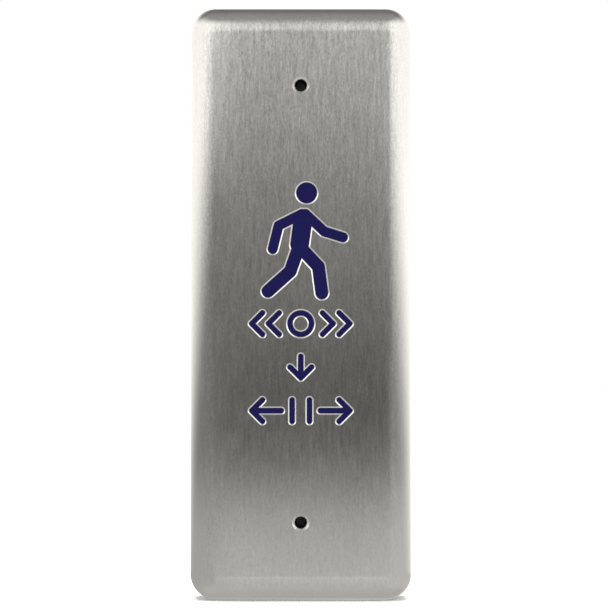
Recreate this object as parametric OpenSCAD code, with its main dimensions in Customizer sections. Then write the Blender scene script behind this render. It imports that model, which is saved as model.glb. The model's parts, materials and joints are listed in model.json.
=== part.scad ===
// Narrow-jamb push plate for an automatic door: a pressed steel face on a sprung
// carrier, which works a snap-action switch behind a screwed-on back plate.
// Pieces are drawn lying on a bench (X right, Y up the plate, Z out of the wall)
// and stood upright at the end. The origin is the centre of the wall face.

/* [Face plate] */
// Width of the face plate
face_w = 43; // [42:0.5:60]
// Height of the face plate
face_h = 115; // [112:1:160]
// Thickness of the face sheet
face_t = 1.5; // [1:0.1:1.8]
// Plan radius of the four corners
corner_r = 5; // [4.8:0.1:8]
// Outer radius of the bend round the front edge
edge_bend_r = 4.6; // [3:0.1:4.7]
// Space left between the rim and the wall when the plate is pressed home
rim_clearance = 1.2; // [0.8:0.1:3]
// Travel of the plate from rest to its stop
press_travel = 2; // [1:0.1:2.6]
// Diameter of the two key holes in the face
key_hole_d = 2.4; // [2:0.1:3.4]
// Width of the chamfer round a key hole
key_hole_chamfer = 0.45; // [0.2:0.05:0.6]
// Distance from each end of the face to a key hole
screw_inset = 15.25; // [14:0.25:20]

/* [Filled graphics] */
// Depth of the pockets that hold the enamel
pocket_depth = 0.4; // [0.2:0.05:0.6]
// How far the enamel lies below the face
enamel_recess = 0.1; // [0.05:0.01:0.15]
// Clearance between the enamel and its pocket
enamel_gap = 0.02; // [0.01:0.01:0.05]
// Height of the walking figure
figure_h = 22.6; // [16:0.1:26]
// Height of the figure's middle above the centre of the face
figure_y = 12.2; // [8:0.1:16]
// Height of one row of arrow signs
sign_h = 5.2; // [4:0.1:7]
// Width of one row of arrow signs
sign_w = 20; // [16:0.5:26]
// Stroke width of the arrow signs
sign_stroke = 1.05; // [0.8:0.05:1.4]
// Height of the top row's middle above the centre of the face
first_row_y = -3.8; // [-8:0.1:-3]
// Distance from one row of signs to the next
row_pitch = 8.4; // [7:0.1:10]

/* [Carrier] */
// Thickness of the carrier sheet
carrier_t = 1.4; // [1:0.1:1.6]
// Width across the legs of the hat section
hat_w = 20.8; // [19:0.1:22]
// Length of carrier beyond each captive screw
carrier_end = 5.75; // [5:0.25:9]
// Gap between the carrier flange and the start of the face's bend
flange_edge_gap = 0.4; // [0.2:0.1:1]
// Diameter of the weld studs
stud_d = 2.5; // [2:0.1:2.6]
// Distance between the two rows of weld studs
stud_pitch_y = 60; // [40:1:70]
// Diameter of the holes that give a driver access to the wall screws
access_hole_d = 9; // [8.6:0.1:10]
// Width across the flats of a carrier nut
carrier_nut_af = 5; // [4.6:0.1:5.2]
// Height of a carrier nut
carrier_nut_h = 2; // [1.6:0.1:2.4]
// Outer diameter of a carrier washer
carrier_washer_d = 5.4; // [5:0.1:5.8]
// Thickness of a carrier washer
carrier_washer_t = 0.5; // [0.3:0.1:0.8]
// Length of stud below a carrier nut
stud_tail = 0.5; // [0.3:0.1:1]

/* [Back plate] */
// Thickness of the back plate
back_plate_t = 1.8; // [1.5:0.1:3]
// Gap between the face's skirt and the back plate
skirt_gap = 0.8; // [0.5:0.1:1.5]
// Thickness of the wall gasket
gasket_t = 1.2; // [1.1:0.1:3]
// Distance from the edge of the back plate to the gasket
gasket_inset = 0.5; // [0.2:0.1:2]
// Distance between the two wall screw holes
wall_hole_pitch = 60; // [58:1:62]
// Diameter of a wall screw hole
wall_hole_d = 4.5; // [4:0.1:5]
// Diameter of a wall screw hole's countersink
countersink_d = 8.2; // [7:0.1:8.6]
// Width of the gasket window for the switch
window_w = 25; // [24:0.5:30]
// Height of the gasket window for the switch
window_h = 50; // [49:0.5:52]
// Outer diameter of the tapped bosses
boss_d = 6.2; // [5.5:0.1:6.4]
// Height of the tapped bosses above the back plate
boss_h = 1.2; // [0.8:0.1:1.3]

/* [Captive screws and springs] */
// Diameter of the screw shoulder
shoulder_d = 5; // [4:0.1:5.4]
// Diameter of the screw head
screw_head_d = 6.8; // [6.4:0.1:8]
// Height of the screw head
screw_head_h = 1.8; // [1.4:0.1:2.4]
// Width across the flats of the key socket
socket_af = 2; // [1.5:0.1:2.5]
// Depth of the key socket
socket_depth = 1.2; // [0.8:0.1:1.4]
// Diameter of the screw thread
thread_d = 3.5; // [3:0.1:4]
// Radial running clearance of the guide bushes on the shoulders
bush_gap = 0.06; // [0.03:0.01:0.1]
// Wall of a guide bush
bush_wall = 0.9; // [0.7:0.1:1.2]
// Diameter of a guide bush's flange
bush_flange_d = 9.4; // [8.6:0.1:10]
// Thickness of a guide bush's flange
bush_flange_t = 0.7; // [0.5:0.1:1]
// Thickness of the silencing rings
ring_t = 0.9; // [0.6:0.1:1.4]
// Wire diameter of the return springs
spring_wire = 0.7; // [0.5:0.05:0.8]
// Mean radius of a return spring at the back plate
spring_r_low = 6; // [5:0.1:6.4]
// Mean radius of a return spring at the carrier
spring_r_high = 3.65; // [3.5:0.05:4.2]
// Turns of a return spring
spring_turns = 4; // [3:0.5:5]
// Diameter of the bump stops
bump_d = 6; // [5:0.1:7]
// Height of the bump stops above the back plate
bump_h = 1.69; // [1.5:0.01:2]
// Distance between the two bump stops
bump_pitch = 24; // [22:0.5:26]

/* [Pusher] */
// Diameter of the pusher's head
pusher_head_d = 7; // [6:0.1:8]
// Thickness of the pusher's head
pusher_head_t = 1.3; // [1.1:0.1:1.4]
// Radius of the dome on the pusher's head
pusher_dome_r = 8; // [6:0.5:20]
// Diameter of the pusher's stem
pusher_d = 3.5; // [3:0.1:4]
// Radius of the pusher's round nose
nose_r = 1.2; // [1:0.1:1.4]
// Outer diameter of the pusher's bush
pusher_bush_d = 6; // [5.4:0.1:6.4]
// Length of the bush behind the back plate
pusher_bush_tail = 1.8; // [1.4:0.1:2.2]
// Thickness of the retaining clip
clip_t = 0.6; // [0.4:0.1:0.8]
// Outer diameter of the retaining clip
clip_d = 6.4; // [6:0.1:7]
// Depth of the groove for the retaining clip
clip_groove = 0.4; // [0.3:0.05:0.5]

/* [Switch] */
// Length of the switch body
switch_l = 27.8; // [27:0.1:29]
// Width of the switch body
switch_w = 10.3; // [9.5:0.1:11]
// Height of the switch body
switch_h = 15.9; // [15.5:0.1:18]
// Distance from the wall face to the top of the switch body
switch_drop = 6.6; // [6.4:0.1:8]
// Wall of the switch case and cover
switch_wall = 1.5; // [1.2:0.1:1.6]
// Diameter of the switch's fixing holes
fixing_hole_d = 3.1; // [3:0.1:3.2]
// Distance from the lever's pin to the line of the pusher
lever_arm = 12; // [11.8:0.1:12.2]
// Distance from the lever's pin to the line of the plunger
plunger_arm = 5; // [4.5:0.1:5.4]
// Length of lever beyond the line of the pusher
lever_tail = 4.5; // [3:0.1:5]
// Thickness of the lever
lever_t = 0.5; // [0.4:0.05:0.6]
// Width of the lever
lever_w = 4.8; // [4:0.1:5]
// Angle of the lever above the switch at full press
lever_low_angle = 1; // [0.5:0.1:1.5]
// Diameter of the lever's pin
lever_pin_d = 1.2; // [1:0.1:1.4]
// Diameter of the plunger
plunger_d = 2.6; // [2.2:0.1:2.8]
// Opening between the switch contacts
contact_gap = 1; // [0.8:0.1:1.2]
// Width of the terminal tabs
tab_w = 4.8; // [4:0.1:6]
// Thickness of the terminal tabs
tab_t = 0.8; // [0.5:0.1:0.9]
// Length of the terminal tabs outside the case
tab_l = 6.5; // [5:0.1:8]

/* [Switch bracket] */
// Thickness of the bracket sheet
bracket_t = 1; // [0.8:0.1:1]
// Gap between the bracket's cheeks and the switch
cheek_gap = 0.1; // [0.05:0.05:0.3]
// Length of the bracket's web
bracket_l = 48; // [46:0.5:48.5]
// Distance between the two rivets
rivet_pitch = 39; // [38.5:0.5:42]
// Diameter of the rivets
rivet_d = 2.4; // [2:0.1:3]
// Diameter of the rivet heads
rivet_head_d = 4.4; // [4:0.1:4.8]

/* [Hidden] */
$fn = 48;
// Cuts run this far past a face
over = 1;
// Slack of a part that is screwed, pressed or seated in place
seat_gap = 0.03;
// Slack of a part that slides or turns
run_gap = 0.05;
// Lift of the face's ends that the tilt needs above a screw head
tilt_room = 0.6;
// Slack above the bump stops at full press, for the tilt
bump_gap = 0.21;
// Slack between the pusher's dome and the carrier, which rocks on it
rock_gap = 0.02;

// Heights above the wall, from the back outwards
plate_rear = gasket_t;
plate_front = plate_rear + back_plate_t;
web_under = plate_front + bump_h + press_travel + bump_gap;
web_top = web_under + carrier_t;
bush_top = web_top + bush_flange_t;
head_under = bush_top + ring_t;
head_top = head_under + screw_head_h;
face_inner = head_top + press_travel + tilt_room;
face_front = face_inner + face_t;
face_rim = rim_clearance + press_travel;

// Places along and across the plate
screw_y = face_h / 2 - screw_inset;
wall_hole_y = wall_hole_pitch / 2;
stud_y = stud_pitch_y / 2;
flange_x = face_w / 2 - edge_bend_r - flange_edge_gap;
stud_x = (hat_w / 2 + flange_x) / 2;
bush_bore_d = shoulder_d + 2 * bush_gap;
bush_d = bush_bore_d + 2 * bush_wall;
tap_d = thread_d - 0.6;
thread_end = plate_rear + 0.2;

// Pusher, lever and plunger
switch_top = -switch_drop;
pin_y = -lever_arm;
knuckle_d = lever_pin_d + 2 * run_gap + 2 * lever_t;
pin_z = switch_top + knuckle_d / 2 + 2 * run_gap;
lever_angle = lever_low_angle + asin(press_travel / lever_arm);
nose_gap = 0.1;
nose_lift = lever_t / 2 + nose_r + nose_gap;
nose_z = pin_z + (nose_lift + lever_arm * sin(lever_angle)) / cos(lever_angle);
plunger_y = pin_y + plunger_arm;
plunger_drop = lever_t / 2 + plunger_d / 2 + run_gap;
function plunger_height(a) = pin_z + (plunger_arm * sin(a) - plunger_drop) / cos(a);
plunger_z = plunger_height(lever_angle);
plunger_travel = plunger_z - plunger_height(lever_low_angle);
ear_t = 1.2;
ear_l = 2.8;
ear_wall = 0.6;
clip_top = plate_rear - pusher_bush_tail - 0.1;

// Inside the switch
case_left = -switch_l / 2 - 0.6;
case_right = switch_l / 2 - 0.6;
case_bottom = switch_top - switch_h;
cover_t = switch_wall;
boss_r = 2.7;
fixing_points = [[case_left + 2.8, case_bottom + 2.9], [case_right - 2.8, switch_top - 2.7]];
contact_y = 5.5;
contact_d = 2.4;
contact_t = 0.5;
blade_t = 0.4;
blade_w = 3.4;
blade_pivot_y = -8;
blade_curl_r = 0.6;
arm_t = 0.7;
closed_arm_top = switch_top - 5.6;
closed_face = closed_arm_top - arm_t - contact_t;
blade_z = closed_face - run_gap - contact_t - blade_t / 2;
open_face = blade_z - blade_t / 2 - contact_t - contact_gap - run_gap;
common_y = -6.4;
open_y = 1.6;
closed_y = 10.2;
slot_gap = 0.1;

// Bracket
cheek_in = switch_w / 2 + cheek_gap;
cheek_out = cheek_in + bracket_t;
cheek_low = case_bottom - 0.6;
bracket_top = plate_rear;
bracket_under = bracket_top - bracket_t;
switch_screw_d = 3;
m3_head_d = 5.6;
m3_head_h = 2;
m3_washer_d = 6;
m3_washer_t = 0.5;
m3_nut_af = 5.5;
m3_nut_h = 2.4;

// Colours
steel = "silver";
zinc = "gainsboro";
navy = "midnightblue";
rubber = "dimgray";
brass = "goldenrod";

// Stands a piece upright, with its front towards -Y.
module upright() rotate([90, 0, 0]) children();

// Repeats a piece at plus and minus y.
module pair_y(y) for (side = [-1, 1]) translate([0, side * y, 0]) children();

// Repeats a piece at four points about the centre.
module four(x, y) for (sx = [-1, 1], sy = [-1, 1]) translate([sx * x, sy * y, 0]) children();

// Repeats a piece at the switch's two fixing holes, its axis along X.
module at_fixings() for (p = fixing_points) translate([0, p[0], p[1]]) rotate([0, 90, 0]) children();

// Rectangle with round corners.
module rounded_rect(w, h, r) {
  square([w - 2 * r, h], center = true);
  square([w, h - 2 * r], center = true);
  for (sx = [-1, 1], sy = [-1, 1])
    translate([sx * (w / 2 - r), sy * (h / 2 - r)]) circle(r = r);
}

// Washer or ring between two diameters, from z upwards.
module ring(outer_d, inner_d, t) {
  difference() {
    cylinder(d = outer_d, h = t);
    translate([0, 0, -over]) cylinder(d = inner_d, h = t + 2 * over);
  }
}

// Hexagonal prism given by its width across the flats.
module hexagon(af, h) cylinder(d = af / cos(30), h = h, $fn = 6);

// ---- Graphics ----

// Straight stroke with round ends from a to b.
module stroke(a, b, w) {
  run = b - a;
  translate(a) rotate(atan2(run.y, run.x)) {
    translate([0, -w / 2]) square([norm(run), w]);
    circle(d = w);
    translate([norm(run), 0]) circle(d = w);
  }
}

// Bent line of strokes through the points.
module strokes(points, w) for (i = [0 : len(points) - 2]) stroke(points[i], points[i + 1], w);

// Walking figure, drawn in hundredths of its own height, with its edge moved in by shrink.
module figure(shrink) {
  unit = figure_h / 100;
  body = 16 * unit - 2 * shrink;
  leg = 11 * unit - 2 * shrink;
  arm = 8.5 * unit - 2 * shrink;
  translate([0, figure_y]) {
    translate([5, 41] * unit) circle(d = 18 * unit - 2 * shrink);
    stroke([2, 19] * unit, [-1, -3] * unit, body);
    strokes([[0, -6] * unit, [15, -22] * unit, [18, -44.5] * unit], leg);
    strokes([[-2, -6] * unit, [-9, -26] * unit, [-28, -43] * unit], leg);
    strokes([[4, 23] * unit, [20, 8] * unit, [36, 3] * unit], arm);
    strokes([[1, 23] * unit, [-19, 13] * unit, [-24, -7] * unit], arm);
  }
}

// Open arrowhead pointing along +X, its tip at the origin.
module chevron(w) {
  reach = sign_h / 2 - sign_stroke / 2;
  strokes([[-reach, reach], [0, 0], [-reach, -reach]], w);
}

// Three rows of signs: press here, inwards, and the leaves part.
module signs(shrink) {
  w = sign_stroke - 2 * shrink;
  edge = sign_w / 2 - sign_stroke / 2;
  reach = sign_h / 2 - sign_stroke / 2;
  translate([0, first_row_y]) {
    difference() {
      circle(d = sign_h - 2 * shrink);
      circle(d = sign_h - 2 * sign_stroke + 2 * shrink);
    }
    for (side = [0, 1], x = [sign_h / 2 + 1.5 * sign_stroke, edge - reach])
      mirror([side, 0]) translate([-x, 0]) chevron(w);
  }
  translate([0, first_row_y - row_pitch]) {
    translate([0, -reach]) rotate(-90) chevron(w);
    stroke([0, reach], [0, -reach], w);
  }
  translate([0, first_row_y - 2 * row_pitch])
    for (side = [0, 1]) mirror([side, 0]) {
      stroke([1.6 * sign_stroke, reach], [1.6 * sign_stroke, -reach], w);
      translate([edge, 0]) chevron(w);
      stroke([3.6 * sign_stroke, 0], [edge, 0], w);
    }
}

// ---- Face and carrier, which move together ----

// Half section of a pan, from its corner axis outwards.
module pan_section(r, low, top, bend) {
  translate([0, low]) square([r, top - bend - low]);
  translate([0, low]) square([r - bend, top - low]);
  intersection() {
    translate([r - bend, top - bend]) circle(r = bend);
    translate([r - bend, top - bend]) square(bend);
  }
}

// Sheet section of the face's wall and bend.
module sheet_section() {
  difference() {
    pan_section(corner_r, face_rim, face_front, edge_bend_r);
    pan_section(corner_r - face_t, face_rim - over, face_inner, edge_bend_r - face_t);
  }
}

module face_shell() {
  flat_w = face_w - 2 * corner_r;
  flat_h = face_h - 2 * corner_r;
  translate([-flat_w / 2, -flat_h / 2, face_inner]) cube([flat_w, flat_h, face_t]);
  for (side = [0, 1]) mirror([side, 0, 0])
    translate([flat_w / 2, flat_h / 2, 0])
      rotate([90, 0, 0]) linear_extrude(flat_h) sheet_section();
  for (side = [0, 1]) mirror([0, side, 0])
    translate([-flat_w / 2, flat_h / 2, 0])
      rotate([90, 0, 90]) linear_extrude(flat_w) sheet_section();
  for (sx = [0, 1], sy = [0, 1]) mirror([sx, 0, 0]) mirror([0, sy, 0])
    translate([flat_w / 2, flat_h / 2, 0]) rotate_extrude(angle = 90) sheet_section();
}

// Chamfered hole through the face for a hexagon key.
module key_hole() {
  translate([0, 0, face_inner - over]) cylinder(d = key_hole_d, h = face_t + 2 * over);
  translate([0, 0, face_front - key_hole_chamfer])
    cylinder(d1 = key_hole_d, d2 = key_hole_d + 4 * key_hole_chamfer, h = 2 * key_hole_chamfer);
}

module face_plate() color(steel) upright() {
  difference() {
    face_shell();
    pair_y(screw_y) key_hole();
    translate([0, 0, face_front - pocket_depth]) linear_extrude(over) {
      figure(0);
      signs(0);
    }
  }
}

// Lays enamel in the pockets of the face.
module enamel_layer() {
  translate([0, 0, face_front - pocket_depth + enamel_gap])
    linear_extrude(pocket_depth - enamel_gap - enamel_recess) children();
}

module figure_enamel() color(navy) upright() enamel_layer() figure(enamel_gap);

module sign_enamel() color(navy) upright() enamel_layer() signs(enamel_gap);

module weld_studs() color(steel) upright() {
  low = face_inner - carrier_t - carrier_washer_t - carrier_nut_h - stud_tail;
  four(stud_x, stud_y) translate([0, 0, low]) cylinder(d = stud_d, h = face_inner - low);
}

// Hat section: web at the back, flanges against the face.
module hat_section() {
  half = hat_w / 2;
  translate([-half, web_under]) square([hat_w, carrier_t]);
  for (side = [0, 1]) mirror([side, 0]) {
    translate([half - carrier_t, web_under]) square([carrier_t, face_inner - web_under]);
    translate([half - carrier_t, face_inner - carrier_t])
      square([flange_x - half + carrier_t, carrier_t]);
  }
}

module carrier() color(zinc) upright() {
  length = 2 * (screw_y + carrier_end);
  difference() {
    translate([0, length / 2, 0]) rotate([90, 0, 0]) linear_extrude(length) hat_section();
    pair_y(screw_y) translate([0, 0, web_under - over]) cylinder(d = bush_d, h = carrier_t + 2 * over);
    pair_y(wall_hole_y)
      translate([0, 0, web_under - over]) cylinder(d = access_hole_d, h = carrier_t + 2 * over);
    four(stud_x, stud_y) translate([0, 0, face_inner - carrier_t - over])
      cylinder(d = stud_d + 2 * seat_gap, h = carrier_t + 2 * over);
  }
}

module carrier_washers() color(steel) upright() {
  four(stud_x, stud_y) translate([0, 0, face_inner - carrier_t - carrier_washer_t])
    ring(carrier_washer_d, stud_d + 2 * seat_gap, carrier_washer_t);
}

module carrier_nuts() color(steel) upright() {
  top = face_inner - carrier_t - carrier_washer_t;
  four(stud_x, stud_y) translate([0, 0, top - carrier_nut_h]) difference() {
    hexagon(carrier_nut_af, carrier_nut_h);
    translate([0, 0, -over]) cylinder(d = stud_d + 2 * seat_gap, h = carrier_nut_h + 2 * over);
  }
}

module guide_bushes() color("ivory") upright() {
  pair_y(screw_y) translate([0, 0, web_under]) difference() {
    union() {
      cylinder(d = bush_d - 2 * seat_gap, h = carrier_t + bush_flange_t);
      translate([0, 0, carrier_t]) cylinder(d = bush_flange_d, h = bush_flange_t);
    }
    translate([0, 0, -over]) cylinder(d = bush_bore_d, h = carrier_t + bush_flange_t + 2 * over);
  }
}

// ---- Back plate and what stays with it ----

plate_w = face_w - 2 * face_t - 2 * skirt_gap;
plate_h = face_h - 2 * face_t - 2 * skirt_gap;
plate_r = corner_r - face_t - skirt_gap;

module back_plate() color(zinc) upright() {
  difference() {
    union() {
      translate([0, 0, plate_rear]) linear_extrude(back_plate_t) rounded_rect(plate_w, plate_h, plate_r);
      pair_y(screw_y) translate([0, 0, plate_rear]) cylinder(d = boss_d, h = back_plate_t + boss_h);
    }
    pair_y(screw_y) translate([0, 0, plate_rear - over]) cylinder(d = tap_d, h = back_plate_t + boss_h + 2 * over);
    pair_y(wall_hole_y) {
      translate([0, 0, plate_rear - over]) cylinder(d = wall_hole_d, h = back_plate_t + 2 * over);
      sink = (countersink_d - wall_hole_d) / 2;
      translate([0, 0, plate_front - sink / 2])
        cylinder(d1 = wall_hole_d, d2 = countersink_d + sink, h = 1.5 * sink / 2);
    }
    translate([0, 0, plate_rear - over]) cylinder(d = pusher_bush_d, h = back_plate_t + 2 * over);
    pair_y(bump_pitch / 2)
      translate([0, 0, plate_rear - over]) cylinder(d = bump_d / 2, h = back_plate_t + 2 * over);
    pair_y(rivet_pitch / 2)
      translate([0, 0, plate_rear - over]) cylinder(d = rivet_d, h = back_plate_t + 2 * over);
  }
}

module wall_gasket() color(rubber) upright() {
  linear_extrude(gasket_t) difference() {
    rounded_rect(plate_w - 2 * gasket_inset, plate_h - 2 * gasket_inset, plate_r - gasket_inset);
    square([window_w, window_h], center = true);
    pair_y(wall_hole_y) circle(d = wall_hole_d + 1);
  }
}

module captive_screws() color("dimgray") upright() {
  pair_y(screw_y) difference() {
    union() {
      translate([0, 0, head_under]) cylinder(d = screw_head_d, h = screw_head_h);
      translate([0, 0, plate_front + boss_h])
        cylinder(d = shoulder_d, h = head_under - plate_front - boss_h);
      translate([0, 0, thread_end]) cylinder(d = tap_d - 2 * seat_gap, h = plate_front + boss_h - thread_end);
    }
    translate([0, 0, head_top - socket_depth]) hexagon(socket_af, socket_depth + over);
  }
}

module silencing_rings() color("black") upright() {
  pair_y(screw_y) translate([0, 0, bush_top]) rotate_extrude()
    translate([shoulder_d / 2 + run_gap + ring_t / 2, ring_t / 2]) circle(d = ring_t - 0.02);
}

// Point on the middle of a return spring's wire, at share f of its length.
function coil_rise(f) = min(1, max(0, (f * spring_turns - 0.6) / (spring_turns - 1.2)));
function coil_point(f) = let (
  a = 360 * spring_turns * f,
  r = spring_r_low + (spring_r_high - spring_r_low) * f,
  low = plate_front + spring_wire / 2 + run_gap,
  high = web_under - spring_wire / 2 - run_gap)
  [r * cos(a), r * sin(a), low + (high - low) * coil_rise(f)];
coil_sides = 8;
coil_steps = 20 * spring_turns;
function coil_ring(i) = let (f = i / coil_steps, a = 360 * spring_turns * f, c = coil_point(f))
  [for (j = [0 : coil_sides - 1]) let (b = 360 * j / coil_sides, s = spring_wire / 2)
    c + [s * cos(b) * cos(a), s * cos(b) * sin(a), s * sin(b)]];

// Conical spring as a swept tube.
module coil() {
  last = coil_steps * coil_sides;
  polyhedron(
    points = [for (i = [0 : coil_steps]) each coil_ring(i)],
    faces = concat(
      [[for (j = [0 : coil_sides - 1]) j]],
      [for (i = [0 : coil_steps - 1], j = [0 : coil_sides - 1]) let (
        a = i * coil_sides + j, b = i * coil_sides + (j + 1) % coil_sides)
        [a, a + coil_sides, b + coil_sides, b]],
      [[for (j = [coil_sides - 1 : -1 : 0]) last + j]]));
}

module return_springs() color(steel) upright() pair_y(screw_y) coil();

module bump_stops() color("black") upright() {
  pair_y(bump_pitch / 2) {
    translate([0, 0, plate_front]) cylinder(d = bump_d, h = bump_h);
    translate([0, 0, plate_rear + seat_gap])
      cylinder(d = bump_d / 2 - 2 * seat_gap, h = back_plate_t - seat_gap);
  }
}

// ---- Pusher ----

module pusher() color("ivory") upright() {
  dome_top = web_under - rock_gap;
  head_low = dome_top - pusher_head_t;
  difference() {
    union() {
      intersection() {
        translate([0, 0, head_low]) cylinder(d = pusher_head_d, h = pusher_head_t + over);
        translate([0, 0, dome_top - pusher_dome_r]) sphere(r = pusher_dome_r);
      }
      translate([0, 0, clip_top - 2 * clip_t])
        cylinder(d = pusher_d, h = head_low - clip_top + 2 * clip_t);
      translate([0, 0, nose_z]) cylinder(r = nose_r, h = clip_top - nose_z);
      translate([0, 0, nose_z]) sphere(r = nose_r);
    }
    translate([0, 0, clip_top - clip_t - seat_gap])
      ring(pusher_d + over, pusher_d - 2 * clip_groove, clip_t + 2 * seat_gap);
  }
}

module pusher_bush() color(brass) upright() {
  difference() {
    union() {
      translate([0, 0, plate_rear - pusher_bush_tail])
        cylinder(d = pusher_bush_d - 2 * seat_gap, h = pusher_bush_tail + back_plate_t);
      translate([0, 0, plate_front]) cylinder(d = pusher_bush_d + 2, h = 0.4);
    }
    translate([0, 0, plate_rear - pusher_bush_tail - over])
      cylinder(d = pusher_d + 2 * run_gap, h = pusher_bush_tail + back_plate_t + 2 * over);
  }
}

// Open ring that snaps into the pusher's groove.
module pusher_clip() color("dimgray") upright() {
  inner_d = pusher_d - 2 * clip_groove + 2 * seat_gap;
  translate([0, 0, clip_top - clip_t]) difference() {
    ring(clip_d, inner_d, clip_t);
    translate([0, -inner_d / 2, -over]) cube([clip_d, inner_d, clip_t + 2 * over]);
  }
}

// ---- Switch bracket ----

module switch_bracket() color(zinc) upright() {
  cheek_l = switch_l + 1;
  difference() {
    union() {
      translate([-cheek_out, -bracket_l / 2, bracket_under]) cube([2 * cheek_out, bracket_l, bracket_t]);
      for (side = [0, 1]) mirror([side, 0, 0])
        translate([cheek_in, case_left - 0.5, cheek_low])
          cube([bracket_t, cheek_l, bracket_under - cheek_low + bracket_t / 2]);
    }
    translate([0, 0, bracket_under - over])
      cylinder(d = pusher_bush_d + 0.4, h = bracket_t + 2 * over);
    pair_y(rivet_pitch / 2) translate([0, 0, bracket_under - over])
      cylinder(d = rivet_d, h = bracket_t + 2 * over);
    at_fixings() translate([0, 0, -cheek_out - over])
      cylinder(d = fixing_hole_d, h = 2 * cheek_out + 2 * over);
  }
}

module bracket_rivets() color(steel) upright() {
  grip = back_plate_t + bracket_t;
  pair_y(rivet_pitch / 2) {
    translate([0, 0, bracket_under]) cylinder(d = rivet_d - 2 * seat_gap, h = grip);
    translate([0, 0, plate_front]) cylinder(d1 = rivet_head_d, d2 = rivet_head_d * 0.6, h = 0.9);
    translate([0, 0, bracket_under - 0.9]) cylinder(d1 = rivet_head_d * 0.6, d2 = rivet_head_d, h = 0.9);
  }
}

// ---- Switch ----

// Slot in the case floor for a terminal at y.
module tab_slot(y) {
  translate([-tab_w / 2 - slot_gap, y - tab_t / 2 - slot_gap, case_bottom - over])
    cube([tab_w + 2 * slot_gap, tab_t + 2 * slot_gap, switch_wall + 2 * over]);
}

module switch_case() color("saddlebrown") upright() {
  depth = switch_w - cover_t;
  difference() {
    union() {
      difference() {
        translate([-switch_w / 2, case_left, case_bottom]) cube([depth, switch_l, switch_h]);
        difference() {
          translate([-switch_w / 2 + switch_wall, case_left + switch_wall, case_bottom + switch_wall])
            cube([switch_w, switch_l - 2 * switch_wall, switch_h - 2 * switch_wall]);
          at_fixings() translate([0, 0, -switch_w / 2]) cylinder(r = boss_r, h = depth);
        }
      }
      for (side = [0, 1]) mirror([side, 0, 0])
        translate([lever_w / 2 + run_gap, pin_y - ear_l / 2, switch_top - switch_wall])
          cube([ear_t, ear_l, pin_z + lever_pin_d / 2 + ear_wall - switch_top + switch_wall]);
    }
    at_fixings() translate([0, 0, -switch_w / 2 - over]) cylinder(d = fixing_hole_d, h = switch_w + 2 * over);
    translate([0, plunger_y, switch_top - switch_wall - over])
      cylinder(d = plunger_d + 2 * run_gap, h = switch_wall + 2 * over);
    translate([-switch_w / 2, pin_y, pin_z]) rotate([0, 90, 0]) cylinder(d = lever_pin_d, h = switch_w);
    for (y = [common_y, open_y, closed_y]) tab_slot(y);
  }
}

module switch_cover() color("peru") upright() {
  difference() {
    translate([switch_w / 2 - cover_t, case_left, case_bottom]) cube([cover_t, switch_l, switch_h]);
    at_fixings() translate([0, 0, switch_w / 2 - cover_t - over])
      cylinder(d = fixing_hole_d, h = cover_t + 2 * over);
  }
}

module switch_plunger() color("crimson") upright() {
  collar_top = switch_top - switch_wall - run_gap;
  foot = blade_z + blade_curl_r + plunger_travel + 2 * run_gap;
  translate([0, plunger_y, 0]) {
    translate([0, 0, foot]) cylinder(d = plunger_d, h = plunger_z - foot);
    translate([0, 0, plunger_z]) sphere(d = plunger_d);
    translate([0, 0, collar_top - 0.8]) cylinder(d = plunger_d + 1.4, h = 0.8);
  }
}

module switch_lever() color(steel) upright() {
  translate([0, pin_y, pin_z]) rotate([lever_angle, 0, 0]) difference() {
    union() {
      translate([-lever_w / 2, 0, -lever_t / 2]) cube([lever_w, lever_arm + lever_tail, lever_t]);
      translate([-lever_w / 2, 0, 0]) rotate([0, 90, 0]) cylinder(d = knuckle_d, h = lever_w);
    }
    translate([-lever_w / 2 - over, 0, 0]) rotate([0, 90, 0])
      cylinder(d = lever_pin_d + 2 * run_gap, h = lever_w + 2 * over);
  }
}

module lever_pin() color(steel) upright() {
  length = lever_w + 2 * run_gap + 2 * ear_t;
  translate([-length / 2, pin_y, pin_z]) rotate([0, 90, 0]) cylinder(d = lever_pin_d - 0.02, h = length);
}

// Contact button standing on z, its axis along Z.
module contact(z, t) translate([0, contact_y, z]) cylinder(d = contact_d, h = t);

module contact_blade() color(brass) upright() {
  reach = contact_y + contact_d / 2 + 0.4;
  translate([-blade_w / 2, blade_pivot_y, blade_z - blade_t / 2])
    cube([blade_w, reach - blade_pivot_y, blade_t]);
  translate([-blade_w / 2, blade_pivot_y, blade_z]) rotate([0, 90, 0]) cylinder(r = blade_curl_r, h = blade_w);
  contact(blade_z - blade_t / 2 - contact_t, 2 * contact_t + blade_t);
}

// Bowed leaf between the common terminal and the middle of the blade.
module blade_spring() color("tan") upright() {
  start = common_y + tab_t / 2 + seat_gap;
  span = 5.4;
  bow_r = span / 2;
  leaf_t = 0.25;
  top = blade_z - blade_t / 2 - seat_gap;
  translate([-blade_w / 4, start + bow_r, top]) rotate([90, 0, 90]) linear_extrude(blade_w / 2)
    difference() {
      circle(r = bow_r);
      circle(r = bow_r - leaf_t);
      translate([-span, 0]) square([2 * span, span]);
    }
}

// Terminal tab at y, from height z down through the case floor.
module tab(y, z) {
  low = case_bottom - tab_l;
  difference() {
    translate([-tab_w / 2, y - tab_t / 2, low]) cube([tab_w, tab_t, z - low]);
    translate([0, y - over, low + 2]) rotate([-90, 0, 0]) cylinder(d = 1.6, h = 2 * over);
  }
}

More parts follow.
